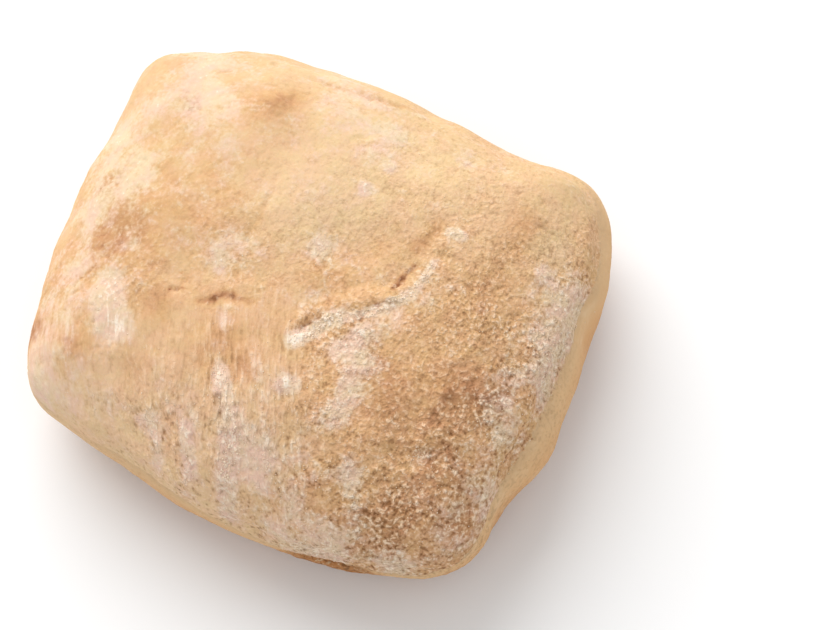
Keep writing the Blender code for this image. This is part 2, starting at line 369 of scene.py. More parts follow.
def smoothPath(points, pointsToMm, steps=20):  # a Catmull-Rom curve through the points, evenly spaced
    points = np.array(points, float)
    ends = np.vstack([2 * points[0] - points[1], points, 2 * points[-1] - points[-2]])
    share = np.linspace(0, 1, steps, endpoint=False)[:, None]
    pieces = []
    for before, start, stop, after in zip(ends, ends[1:], ends[2:], ends[3:]):
        pieces.append(0.5 * (
            2 * start
            + (stop - before) * share
            + (2 * before - 5 * start + 4 * stop - after) * share ** 2
            + (3 * start - before - 3 * stop + after) * share ** 3
        ))
    line = np.vstack(pieces + [points[-1:]])
    along = np.append(0, np.cumsum(np.linalg.norm(np.diff(line, axis=0), axis=1)))
    even = np.linspace(0, along[-1], max(2, int(along[-1] * pointsToMm)))
    return np.column_stack([np.interp(even, along, line[:, axis]) for axis in range(line.shape[1])])


def dropped(x, y):  # the point of the shell under (x, y), all in mm
    found = skin.ray_cast(Vector((x * mm, y * mm, 1.0)), Vector((0, 0, -1)))[0]  # from well above
    return np.array(found) / mm


def wander(dice, share, count):  # a slow random walk from -1 to 1 along a line
    knots = dice.uniform(-1, 1, count)
    return np.interp(share, np.linspace(0, 1, count), knots)


def markObject(name, marks, settings):  # loose points on the shell that hold a height and a reach
    dice = np.random.default_rng(settings["seed"])
    places, heights, reaches = [], [], []
    for height, reach, points, *radius in marks.values():
        single = len(points) == 1
        if radius:
            turn = np.linspace(0, math.tau, int(radius[0] * math.tau * settings["pointsToMm"]))
            circle = np.column_stack([np.cos(turn), np.sin(turn)]) * radius[0]
            line = np.array(points) + circle
        else:
            line = np.array(points, float) if single else smoothPath(points, settings["pointsToMm"])
        share = np.linspace(0, 1, len(line)) if len(line) > 1 else np.array([0.5])
        knots = max(settings["fewestKnots"], len(line) // settings["knotEvery"])
        fade = 1.0 if radius else smoothStep(np.minimum(share, 1 - share), 0, settings["fadeShare"])
        heights.extend(height * fade * (1 + settings["unevenness"] * wander(dice, share, knots)))
        for axis in (0, 1):
            line[:, axis] += settings["sway"] * wander(dice, share, knots)
        places.extend(dropped(x, y) for x, y in line)
        reaches.extend([reach] * len(line))
    mesh = bpy.data.meshes.new(name)
    mesh.from_pydata([tuple(place * mm) for place in places], [], [])
    for label, values in (("height", heights), ("reach", reaches)):
        mesh.attributes.new(label, "FLOAT", "POINT").data.foreach_set("value", np.array(values) * mm)
    return addObject(name, mesh)


calmMarking = {**marking, "unevenness": 0.25}
markObjects = {
    "Presses": markObject("pressMarks", presses, calmMarking),
    "Fills": markObject("fillMarks", fills, calmMarking),
    "Ridges": markObject("ridgeMarks", ridges, marking),
    "Furrows": markObject("furrowMarks", furrows, marking),
    "Blisters": markObject("blisterMarks", blisters, calmMarking),
    "Rings": markObject("ringMarks", rings, marking),
}
print("marks laid on the crust")


# where the crust is floury, toasted, grainy or stretched, where shade is painted into its creases,
# pits and the gap under its lip, and where its front rim is painted paler as if lit
# a patch is x, y, reach and amount, and a radius where it is a ring; a strip is a reach, an amount
# and points; places and reaches are in mm

cover = {"everywhere": 0.34}  # how thick the flour lies, from 0 to 1
cover["patches"] = {
    "leftPatch": (-30.5, -24.5, 5.2, 0.20), "leftPatchWhite": (-27.8, -27.5, 2.2, 0.19),
    "leftPatchUpper": (-33.5, -18, 5, -0.05), "backLeft": (-38, 27, 9, 0.24),
    "backLeftEdge": (-45, 20, 5, 0.24), "backLeftInner": (-30, 20, 7, 0.06),
    "leftSide": (-43, 4, 7, 0.21), "leftRim": (-48, -6, 6, 0.36), "leftRimHigh": (-51, 10, 7, 0.25),
    "leftRimLow": (-40, -32, 5, 0.20), "leftLow": (-45, -22, 6, 0.20),
    "aboveShortFold": (-17, -4, 6, 0.24), "belowShortFold": (-10, -17.5, 2.5, 0.20),
    "ringSpot": (-0.7, 4.1, 3.2, 0.33), "back": (0, 33, 7, 0.24),
    "whiteSpot": (2.3, 19.8, 1.6, 0.7), "whiteSpotBack": (4.2, 26.2, 1.6, 0.4),
    "foldHead": (21.9, 19.1, 1.7, 0.07), "rightSpot": (41, 21.5, 2.6, 0.5),
    "rightSpotLow": (41.3, 15.5, 3, 0.20), "frontBump": (7.5, -23.6, 1.8, 0.97),
    "frontEdge": (22, -45, 8, 0.40), "foldFoot": (4.6, -15, 2.2, 0.41),
    "bowl": (12.8, -13.4, 2.8, 0.39), "bowlRing": (15.5, -7.9, 1.6, 0.70),
    "nearCorner": (47, -35, 6, -0.05), "nearCloud": (36, -23, 3, 0.41),
    "frontBelow": (40, -43, 4, 0.29), "frontLip": (28.4, -45, 3, 0.26),
    "frontDoughLow": (22.5, -40.5, 3.5, -0.39), "frontCloud": (26.6, -33, 3, 0.33),
    "middleCloud": (5, -27, 5.5, 0.15), "rightCloud": (20, -18, 4, 0.12),
    "streakCloud": (6, -38.5, 5, 0.50), "rightDough": (35, 22, 8, -0.28),
    "rightDoughHigh": (43, 32, 7, -0.20), "middleDough": (32, -16, 8, -0.30),
    "frontDough": (32, -38, 6, -0.09), "hollowDough": (13.5, 11.5, 4, -0.35),
    "backRim": (-14, 39, 7, 0.24), "backCorner": (-44, 34, 7, 0.23),
    "backMiddle": (-16, 22, 6, -0.12), "frontMiddle": (17, -40, 6, 0.06),
    "frontLeftCorner": (-38.7, -41.7, 8, 0.23), "frontPale": (21, -36, 2.2, 0.09),
    "blister": (-24, 28.5, 3.2, -0.27), "blisterMiddle": (-24.4, 27.4, 1.1, 0.34),
    "blisterTail": (-20.5, 33, 2.8, -0.83), "blisterSmall": (-39.2, 21.8, 2.2, 0.01),
    "goldLeft": (-32, -9, 7, 0.08), "goldLeftLow": (-39, -11, 4, -0.08),
    "goldInner": (-23, -5, 4, -0.17), "goldFold": (10, 11, 4, -0.33),
    "goldRight": (38, 36, 8, -0.06), "goldBackRight": (31, 28, 9, -0.13),
    "creamFold": (20.1, -12, 3.5, 0.34), "nearCrumbs": (45.7, -32.5, 3.5, 0.22),
    "beltDough": (42, 0, 4, -0.11), "backLeftGold": (-37.4, 31, 3, -0.30),
    "goldMiddle": (-23.5, -22, 4.0, -0.42), "goldEdge": (-35.6, -33.5, 3.5, -0.21),
    "goldLow": (-22.6, -34.6, 3, -0.19), "goldStreak": (-12, -27, 4, -0.23),
}
cover["strips"] = {
    "beltEdge": (2.6, 0.41, [(48, 24), (49.7, 14), (50.7, 8), (50.9, 3)]),
    "leftPatch": (2.9, 0.46, [(-34.9, -20.4), (-32.3, -24.0), (-29.3, -27.6)]),
    "streakTop": (1.3, 0.20, [(-9.0, -22.4), (-7.4, -24.6), (-5.7, -26.9)]),
    "streak": (1.9, 0.58, [
        (-5.2, -27.4), (-3.0, -30.2), (-0.8, -32.8), (0.8, -35), (1.9, -37.4),
        (2.6, -40), (3.4, -43), (6, -47.5),
    ]),
    "streakBroad": (4.0, -0.10, [(-1, -35), (3, -39), (6.5, -43), (8, -47)]),
    "streakRight": (2.4, 0.29, [
        (15.4, -12), (17.2, -14.6), (18.3, -18.5), (18.8, -22.7), (19.5, -26.6),
    ]),
    "leftStreak": (1.5, 0.24, [(-14.5, -39.5), (-13.0, -41.7), (-11.3, -43.8), (-9.8, -46.2)]),
    "middleStreak": (1.2, 0.65, [(-7, -39.4), (-5.9, -41.0), (-4.6, -42.8), (-3.0, -45)]),
    "foldHead": (1.1, 0.52, [(20.9, 19.3), (22.4, 19.6), (24.0, 19.4)]),
    "besideFold": (2.4, 0.16, [(23.4, 17), (23.4, 11), (22.9, 6), (20.6, 0.6), (17, -4)]),
    "foldUpper": (1.0, 0.60, [
        (21.1, 11.5), (20.9, 7.2), (20.3, 4.0), (18.8, 1.4), (17.2, -1.0), (15.1, -3.0),
    ]),
    "foldMiddle": (1.0, 0.32, lines["foldMiddle"]),
    "foldLower": (1.25, 0.80, lines["foldLower"]),
    "backLip": (1.0, 0.22, [(-12, 38.8), (-6, 39.4), (0, 41.2), (4, 42.8)]),
    "shortLip": (0.8, 0.12, lines["shortLip"]),
    "rightBelt": (5.0, 0.16, [
        (45.5, 24), (47.0, 14.1), (47.3, 3.3), (47.5, -6), (48, -14.6), (48.8, -24),
    ]),
    "hollow": (1.8, -0.30, lines["foldHollow"]),
    "shortFold": (1.1, -0.35, [
        (-16.2, -16.2), (-13.6, -14.4), (-12.6, -12.9), (-11.1, -12.3), (-6.8, -11.9),
    ]),
}
toast = {"everywhere": 0.40}  # how deeply the crust is browned, from 0, pale dough, to 1; its strips also paint shade into the creases, cracks and hollow, and paint the front rim paler as light
toast["patches"] = {
    "left": (-32, -5, 9, 0.14), "leftInner": (-22, 1.6, 8, 0.03),
    "leftFront": (-23.5, -21.5, 4.5, 0.27), "leftEdge": (-35.6, -33.5, 4, 0.26),
    "leftMiddle": (-22, -33, 5, 0.33), "streakLeft": (-12, -26.5, 5, 0.19),
    "shortFoldFoot": (-5.4, -20.5, 4, 0.15), "besideFold": (14.5, 13.8, 3.8, -0.05),
    "goldFold": (12, 10.5, 4.5, 0.14), "leftShoulder": (-40, -13, 8, 0.33),
    "leftHigh": (-46, 0, 8, 0.24), "leftRim": (-47, -27, 5, 0.08), "centre": (4, 0.5, 7, 0.24),
    "middlePale": (-5, 12, 12, -0.46), "frontLeftPale": (-22, -38, 12, -0.42),
    "frontPale": (3, -40, 14, -0.39), "frontEdgePale": (24, -44, 9, 0.10),
    "right": (33.7, 28, 4.5, 0.37), "rightCorner": (38, 40, 8, -0.23),
    "rightLow": (34.2, 12.6, 4.5, 0.09), "blister": (-24.4, 27.4, 1.2, 0.02, 1.9),
    "blisterRound": (-23.6, 28.6, 4.5, 0.35), "blisterTail": (-20.8, 32.4, 3.0, 0.30),
    "blisterSmall": (-39.2, 21.8, 1.6, 0.64, 0.8), "bowl": (25, -15.9, 9, 0.29),
    "bowlRight": (37, -8.5, 5, 0.36), "front": (20.6, -32.7, 6, 0.08),
    "frontRight": (33, -36.5, 8, 0.04), "frontMiddle": (17, -40, 6, -0.03),
    "nearRight": (41, -21, 6, 0.11), "nearCorner": (49, -29, 7, 0.23),
    "beltInner": (45, -7, 4, 0.33), "rightHigh": (40, 27.5, 5, -0.41),
    "leftTip": (-47, -34.5, 4, 0.56), "streakTop": (-1, -24.5, 3, 0.35),
    "backPale": (5, 31, 15, -0.32), "backPaleRight": (24, 32, 12, -0.14),
    "backEdgePale": (-20, 40, 12, -0.26), "topLeftPale": (-40, 30, 12, 0.03),
}
toast["strips"] = {
    # painted light: the front rim is made paler, as if lit by light thrown up from the floor
    "frontRimLight": (4.5, -0.35, [(-46, -38), (-32, -46), (-12, -49), (8, -51), (17, -51)]),
    # painted shade: these strips darken the fold's hollow, its cracks and the creases along the
    # furrows
    "hollow": (1.6, 0.32, [(18.8, 19.6), (18.3, 17.7), (17.6, 15.4), (16.9, 13.4)]),
    "crackUpper": (0.5, 0.80, [(18.0, 9.4), (17.4, 7.1), (17.0, 5.4), (16.6, 3.5)]),
    "crackMiddle": (0.45, 0.55, lines["foldCrackMiddle"]),
    "crackLower": (0.4, 0.45, lines["foldCrackLower"]),
    "hollowLeft": (1.6, 0.06, [(16.4, 14.2), (14.2, 12.4), (11.6, 11)]),
    "shortLeft": (0.75, 0.42, lines["shortLeft"]),
    "shortMiddle": (0.85, 0.50, lines["shortMiddle"]),
    "shortRight": (0.75, 0.38, lines["shortRight"]),
    "upperCut": (0.5, 0.22, lines["upperCut"]),
    "leftCrack": (0.45, 0.55, lines["leftCrack"]),
    "leftCurl": (0.4, 0.40, lines["leftCurl"]),
    "backInner": (0.6, 0.34, lines["backInner"]),
    "slantLow": (0.7, 0.10, lines["slantLow"]),
    "slantHigh": (0.7, 0.10, lines["slantHigh"]),
}
grain = {  # how coarse the skin is; it grows along a direction in plan, between two places in mm
    "way": (0.85, -0.53),
    "start": -50,
    "stop": 46,
    "bend": 1.9,
    "everywhere": 0.11,
    "rise": 0.86,
    "least": 0.05,
    "most": 1.2,
}
grain["patches"] = {
    "leftPatch": (-31, -22, 7, 0.08), "front": (-9, -40, 13, 0.24),
    "frontMiddle": (6, -30, 9, 0.24), "right": (42, 6, 10, 0.16), "frontRight": (36, -39, 7, 0.25),
    "bowl": (22, -17, 6, -0.15), "foldFoot": (6, -12, 4, 0.25), "rightCorner": (37, 40, 9, -0.30),
    "nearCorner": (46, -32, 9, 0.15),
}
grain["strips"] = {
    "streak": (2.6, 0.30, [(-5.7, -26.9), (-1.6, -32.5), (1.4, -37.2), (3, -43), (6, -47)]),
    "fold": (1.4, 0.22, [
        (20.6, 18.6), (21.2, 13.7), (20.9, 7.2), (18.8, 1.4), (15.1, -3.0), (11.2, -7),
    ]),
}
blush = {"everywhere": 0.0}  # where the flour looks rosy, above 0, or creamy, below 0
blush["patches"] = {
    "front": (-4, -44, 22, 0.6), "frontLeft": (-28, -41, 9, 0.5), "nearCorner": (42, -36, 12, 0.25),
    "middle": (-6, 18, 11, 0.35), "leftHigh": (-44, 4, 12, -0.7), "backLeft": (-34, 34, 12, -0.3),
    "back": (2, 42, 9, -0.4), "backRight": (36, 46, 9, -0.45),
}
blush["strips"] = {}
drawnOut = {  # where the flour is drawn out into lines, from the middle forwards and less to the right
    "way": (0.454, -0.891),
    "start": -2,  # mm
    "stop": 14,
    "rightWay": (0.891, 0.454),
    "rightStart": -12,
    "rightStop": 14,
    "most": 0.95,
}
# degrees round the roll, height of the crust's edge in mm, how clear it is, how brown the band is
seam = [
    (0, 27.2, 1.0, 0.2), (9, 26.7, 1.0, 0.1), (25, 26.3, 0.9, 0.0), (37, 25.5, 0.7, 0.0),
    (60, 25.5, 0.6, 0.0), (75, 27, 0.7, 0.0), (120, 26, 0.6, 0.0), (148, 23, 0.3, 0.1),
    (182, 18, 0.3, 0.1), (222, 20, 0.45, 0.15), (243, 21, 0.6, 0.1), (265, 21.5, 0.7, 0.1),
    (273, 20.1, 0.8, 0.15), (282, 18.7, 0.9, 0.1), (290, 19.0, 1.0, 0.35), (296, 19.3, 1.0, 0.75),
    (305, 18.7, 0.95, 0.7), (313, 17.9, 0.9, 0.3), (318, 17.2, 0.9, 0.25), (324, 21.9, 0.9, 0.3),
    (328, 23.7, 1.0, 0.3), (331, 24.6, 1.0, 0.3), (335, 23.9, 1.0, 0.25), (340, 25.4, 1.0, 0.2),
    (345, 26.1, 1.0, 0.15), (351, 26.9, 1.0, 0.15), (360, 27.2, 1.0, 0.2),
]
bandEdge = (-0.3, 0.9)  # mm under the crust's edge where the stretched band begins and is full
gap = {  # the gap where the front lip hangs over: a furrow in the relief, and painted dark in the colour as its shade
    "start": (286, 297),  # degrees over which it opens
    "stop": (300, 312),  # and closes
    "under": 7.8,  # mm under the crust's edge
    "reach": 0.75,  # mm
}
stripPointsToMm = 1.5


def patched(settings, amount=0):  # a value for every spot, raised or lowered in the patches and strips
    amount = amount + settings["everywhere"] + np.zeros(len(spots))
    for x, y, reach, strength, *radius in settings["patches"].values():
        far = np.hypot(spots[:, 0] - x, spots[:, 1] - y) - sum(radius)
        amount += strength * np.exp(-(far / reach) ** 2)
    for reach, strength, points in settings["strips"].values():
        nearest = np.full(len(spots), np.inf)
        for x, y in smoothPath(points, stripPointsToMm):
            nearest = np.minimum(nearest, np.hypot(spots[:, 0] - x, spots[:, 1] - y))
        amount += strength * np.exp(-(nearest / reach) ** 2)
    return amount


def along(way):  # how far each spot lies along a direction in plan
    return spots[:, 0] * way[0] + spots[:, 1] * way[1]


angles = np.degrees(np.arctan2(spots[:, 1], spots[:, 0])) % 360
turns, *columns = zip(*seam)
seamHeight, seamClear, seamBrown = (np.interp(angles, turns, column) for column in columns)
coarse = (along(grain["way"]) - grain["start"]) / (grain["stop"] - grain["start"])
coarse = grain["rise"] * np.clip(coarse, 0, 1) ** grain["bend"]
below = smoothStep(along(drawnOut["way"]), drawnOut["start"], drawnOut["stop"])
right = smoothStep(along(drawnOut["rightWay"]), drawnOut["rightStart"], drawnOut["rightStop"])
underEdge = seamHeight - spots[:, 2]
gapAndShadeHere = smoothStep(angles, *gap["start"]) * (1 - smoothStep(angles, *gap["stop"]))
masks = {
    "flourCover": patched(cover),
    "toast": patched(toast),
    "blush": patched(blush),
    "grain": np.clip(patched(grain, coarse), grain["least"], grain["most"]),
    "drawn": below * (1 - right) * drawnOut["most"],
    "band": seamClear * smoothStep(underEdge, *bandEdge),
    "bandBrown": seamBrown,
    "bandClear": seamClear,
    "underEdge": underEdge,
    "downBand": underEdge / seamHeight,
    "gap": gapAndShadeHere * np.exp(-((underEdge - gap["under"]) / gap["reach"]) ** 2),
}
for label, values in masks.items():
    crustMesh.attributes.new(label, "FLOAT", "POINT").data.foreach_set("value", values)
print("crust masks written")


# relief of the crust

relief = {
    "Lump size": 9.0 * mm,
    "Lump height": 0.30 * mm,
    "Wrinkle size": 2.1 * mm,
    "Wrinkle height": 0.40 * mm,
    "Skin line size": 3.6 * mm,
    "Skin line width": 0.035,  # share of the noise's range
    "Skin line depth": 0.16 * mm,
    "Grain size": 1.1 * mm,
    "Grain height": 0.20 * mm,
    "Crumb height": 0.25 * mm,
    "Pore spacing": 6.5 * mm,
    "Pore reach": 0.7 * mm,
    "Pore depth": 0.25 * mm,
    "Band depth": 0.30 * mm,
    "Gap depth": 0.8 * mm,
    "Band calm": 0.85,  # share of the relief that the smooth band loses
    "Wrinkle least": 0.2,  # share of the wrinkles that the finest skin keeps
    "Skin line from": 0.42,  # of a noise from 0 to 1, where skin lines begin to show
    "Skin line to": 0.60,
    "Grain way": math.radians(-63),  # the flour is drawn out along this direction
    "Grain stretch": 2.0,
    "Calm from": 0.2 * mm,  # the height above the foot where relief begins
    "Calm to": 3.0 * mm,
    "Seed": 3.0,
}
blendLoss = 1.66  # what a mean of two noises has to gain to be as lively as either


def felt(maker, place, marks):  # the nearest mark's height as it is felt here, and how near it is
    points = maker.node("GeometryNodeObjectInfo", sockets={"Object": marks}, out="Geometry")
    sockets = {"Geometry": points, "Sample Position": place}
    nearest = maker.node("GeometryNodeSampleNearest", {"domain": "POINT"}, sockets)

    def taken(kind, value):
        settings = {"data_type": kind, "domain": "POINT"}
        sockets = {"Geometry": points, "Value": value, "Index": nearest}
        return maker.node("GeometryNodeSampleIndex", settings, sockets)

    far = maker.vector("DISTANCE", place, taken("FLOAT_VECTOR", place))
    far = far / taken("FLOAT", maker.attribute("reach"))
    share = math.e ** (far * far * -1.0)
    return taken("FLOAT", maker.attribute("height")) * share, share


def stretchedPlace(maker, place, way, stretch):  # a position squeezed along one direction in plan
    settings = {"rotation_type": "Z_AXIS"}
    turned = maker.node("ShaderNodeVectorRotate", settings, {"Vector": place, "Angle": way * -1.0})
    squeeze = maker.node("ShaderNodeCombineXYZ", sockets={"X": 1 / stretch, "Y": 1.0, "Z": 1.0})
    return maker.vector("MULTIPLY", turned, squeeze)


# round grain that turns long where the flour is drawn out
def grainNoise(maker, place, drawn, size, detail, roughness, seed):
    rounded = maker.noise(place, size, detail, roughness, seed)
    lengthened = maker.noise(drawn, size, detail, roughness, seed + 0.5)
    share = maker.attribute("drawn")
    mixed = rounded + (lengthened - rounded) * share - 0.5
    return mixed * (share * (1 - share) * blendLoss + 1)


def reliefTree(sizes):
    maker, size = geometryTree("crustRelief", sizes)
    place = maker.node("GeometryNodeInputPosition")
    normal = maker.node("GeometryNodeInputNormal")
    height = maker.node("ShaderNodeSeparateXYZ", sockets={"Vector": place}, out="Z")
    drawn = stretchedPlace(maker, place, size["Grain way"], size["Grain stretch"])
    grainHere = maker.attribute("grain")
    band = maker.attribute("band")
    seed = size["Seed"]

    # noises from -1 to 1, each on its own seed
    lumps = (maker.noise(place, size["Lump size"], 1.0, seed=seed) - 0.5) * 2
    wrinkles = grainNoise(maker, place, drawn, size["Wrinkle size"], 1.0, 0.5, seed + 7) * 2
    grains = grainNoise(maker, place, drawn, size["Grain size"], 0.0, 0.5, seed + 13) * 2

    # skin lines run along the middle value of a noise, here and there
    valley = abs(maker.noise(place, size["Skin line size"], 2.0, 0.5, seed + 21) - 0.5)
    lineHere = maker.noise(place, size["Lump size"], 1.0, seed=seed + 31)
    skinLine = 1 - maker.smooth(valley, 0.0, size["Skin line width"])
    skinLine = skinLine * maker.smooth(lineHere, size["Skin line from"], size["Skin line to"])
    cells = maker.node(
        "ShaderNodeTexVoronoi", {"voronoi_dimensions": "4D"},
        {"Vector": place, "W": seed, "Scale": 1 / size["Pore spacing"]},
    )
    pores = 1 - maker.smooth(cells * size["Pore spacing"], 0.0, size["Pore reach"])

    least = size["Wrinkle least"]
    total = wrinkles * size["Wrinkle height"] * (grainHere * (1 - least) + least)
    total = total + grains * size["Grain height"] * grainHere
    total = total - pores * size["Pore depth"] - skinLine * size["Skin line depth"]
    rises, shares = {}, {}
    for label in markObjects:
        rises[label], shares[label] = felt(maker, place, size[label])
    total = total + grains * size["Crumb height"] * shares["Ridges"]
    total = total * (1 - band * (1 - maker.attribute("bandBrown")) * size["Band calm"])
    total = total + lumps * size["Lump height"] - band * size["Band depth"]
    total = total - maker.attribute("gap") * size["Gap depth"]
    for rise in rises.values():
        total = total + rise
    total = total * maker.smooth(height, size["Calm from"], size["Calm to"])

    geometry = size["Geometry"]
    for label, value in {"pore": pores, "skinLine": skinLine, "ridge": shares["Ridges"]}.items():
        sockets = {"Geometry": geometry, "Name": label, "Value": value}
        geometry = maker.node("GeometryNodeStoreNamedAttribute", {"data_type": "FLOAT"}, sockets)
    sockets = {"Vector": normal, "Scale": total}
    offset = maker.node("ShaderNodeVectorMath", {"operation": "SCALE"}, sockets)
    geometry = maker.node("GeometryNodeSetPosition", sockets={"Geometry": geometry, "Offset": offset})
    geometry = maker.node("GeometryNodeSetShadeSmooth", sockets={"Geometry": geometry})
    return closeTree(maker, geometry, size["Material"])


# the crust's material
# each range is where a mask begins and where it is full

crustLook = {
    "dough": [  # colours from pale dough to dark crust, by how deeply it is toasted
        (0.0, screen(224, 193, 151)),
        (0.3, screen(218, 181, 140)),
        (0.55, screen(211, 168, 123)),
        (0.8, screen(188, 140, 101)),
        (1.0, screen(143, 97, 64)),
    ],
    "toastBroad": 0.35,  # what each texture adds to the toast
    "toastPatchy": 0.7,
    "toastGrain": 0.25,
    "toastGrainFrom": 0.3,
    # painted shade: skin-line furrows and pores are darkened
    "shadeInLines": 0.10,
    "shadeInPores": 0.15,
    "flour": screen(225, 201, 174),
    "pinkFlour": screen(226, 197, 175),
    "flourThickness": 0.82,
    "flourMottle": 1.15,
    "flourSpeck": 0.12,
    "flourRange": (0.32, 0.68),
    "thickFlour": screen(240, 224, 205),
    "thickSpeck": 0.5,
    "thickRange": (0.88, 1.35),
    "hueRange": (0.35, 0.65),
    "blushInFlour": 0.4,
    "pinkTint": screen(255, 247, 252),
    "yellowTint": screen(252, 255, 245),
    "hueInTint": 0.5,
    "blushInTint": 0.5,
}
crustFinish = {
    "Roughness": 0.88,
    "Specular IOR Level": 0.2,
    "Subsurface Weight": 0.06,
    "Subsurface Radius": (1.0, 0.6, 0.35),
    "Subsurface Scale": 1.0 * mm,
}
grainLook = {  # pale crumbs, and dark pits and cracks that are partly browner crust and partly painted shade
    "clumps": (0.95 * mm, 1.5, 0.65),  # size, detail and roughness of a noise
    "mottle": (5.5 * mm, 4.0, 0.6),
    "broad": (13.0 * mm, 2.0, 0.5),
    "hue": (4.0 * mm, 2.0, 0.6),
    "crumbs": 0.9 * mm,
    "crumbBend": 0.9 * mm,
    "cracks": 2.2 * mm,
    "crackWidth": 0.11 * mm,
    "stretch": 4.0,
    "seed": 5.0,
    "clumpWeight": 2.9,
    "crumbWeight": 1.1,
    "crumbsLostInLines": 0.5,
    "roughLeast": 0.75,
    "roughMore": 0.5,
    "roughBroad": 0.6,
    "roughRange": (-0.15, 0.2),
    "crackRange": (0.0, 0.25),
    "doughCrumb": screen(247, 212, 176),
    "flourCrumb": screen(249, 229, 206),
    "crumbStrength": 0.85,
    "crumbRange": (-0.1, 0.75),
    # pits and cracks lie where the relief is low; their dark colour is partly browner crust and partly
    # painted shade
    "doughPitAndShade": screen(142, 98, 62),
    "flourPitAndShade": screen(152, 118, 90),
    "pitAndShadeStrength": 0.9,
    "pitAndShadeRange": (0.1, 0.85),
    "pitsAndShadeLostInFlour": 0.3,
    "crackAndShadeStrength": 0.4,
    "bumpDepth": 1.0 * mm,
    "bumpCrumbs": 0.2,
    "bumpCracks": 0.1,
    "bumpLostInBand": 0.85,
    "bumpInBrown": 1.2,
}
bandLook = {  # the smooth stretched band under the crust's edge
    "colours": [  # from the crust's edge down to the foot
        (0.0, screen(206, 172, 132)),
        (0.10, screen(217, 179, 134)),
        (0.3, screen(216, 170, 121)),
        (0.6, screen(202, 149, 103)),
        (1.0, screen(176, 120, 76)),
    ],
    "patchyDown": 0.2,
    "toasted": screen(182, 124, 74),
    "toastDown": 0.5,
    "toastMottle": 0.8,
    "toastRange": (0.3, 1.1),
    "pale": screen(230, 202, 164),
    "paleStrength": 0.5,
    "paleRange": (0.0, 0.3),
    "crumbRange": (0.1, 0.7),
    # the band's pits lie where the relief is low; their dark colour is partly painted shade
    "pitAndShade": screen(112, 74, 42),
    "pitAndShadeRange": (0.0, 0.6),
    # painted shade: the dark colour given to the gap under the front lip, how strongly and where it
    # shows
    "gap": screen(88, 57, 34),
    "gapShadeStrength": 0.75,
    "gapShadeClumps": 0.5,
    "gapShadeRange": (-0.25, 0.15),
    "raggedness": 2.0,  # mm that the crust's edge strays
    "edgeRange": (-0.15, 0.35),  # mm
    "clearRange": (0.2, 0.75),
}


def grainTextures(maker, look, place):  # wires of everything that varies in the grain of the crust
    drawn = stretchedPlace(maker, place, relief["Grain way"], look["stretch"])
    seed = look["seed"]  # each noise adds a number of its own
    clumps = grainNoise(maker, place, drawn, *look["clumps"], seed)
    patchy = grainNoise(maker, place, drawn, *look["mottle"], seed + 3)
    mottle = grainNoise(maker, place, drawn, *look["mottle"], seed + 2)
    broad = maker.noise(place, *look["broad"], seed + 4) - 0.5
    hue = maker.noise(place, *look["hue"], seed + 8)

    bend = maker.noise(place, look["crumbs"], seed=seed + 6, out="Color")
    bend = maker.vector("SUBTRACT", bend, (0.5, 0.5, 0.5))
    bend = maker.vector("MULTIPLY", bend, (look["crumbBend"] * 2,) * 3)
    bentPlace = maker.vector("ADD", place, bend)
    crumbs = 0.5 - maker.node(
        "ShaderNodeTexVoronoi", {"feature": "F1"},
        {"Vector": bentPlace, "Scale": 1 / look["crumbs"]}, "Distance",
    )
    crumbs = crumbs * (1 - maker.attribute("drawn") * look["crumbsLostInLines"])
    crackFar = look["cracks"] * maker.node(
        "ShaderNodeTexVoronoi", {"feature": "DISTANCE_TO_EDGE"},
        {"Vector": bentPlace, "Scale": 1 / look["cracks"]}, "Distance",
    )
    crack = 1 - maker.smooth(crackFar, 0.0, look["crackWidth"])
    crack = crack * maker.smooth(mottle + clumps, *look["crackRange"])
    rough = maker.smooth(broad * look["roughBroad"] + patchy, *look["roughRange"])
    rough = maker.attribute("grain") * (look["roughLeast"] + rough * look["roughMore"])
    speck = clumps * look["clumpWeight"] + crumbs * look["crumbWeight"]
    return {
        "clumps": clumps, "patchy": patchy, "mottle": mottle, "broad": broad, "hue": hue,
        "crumbs": crumbs, "crack": crack, "rough": rough, "speck": speck,
    }


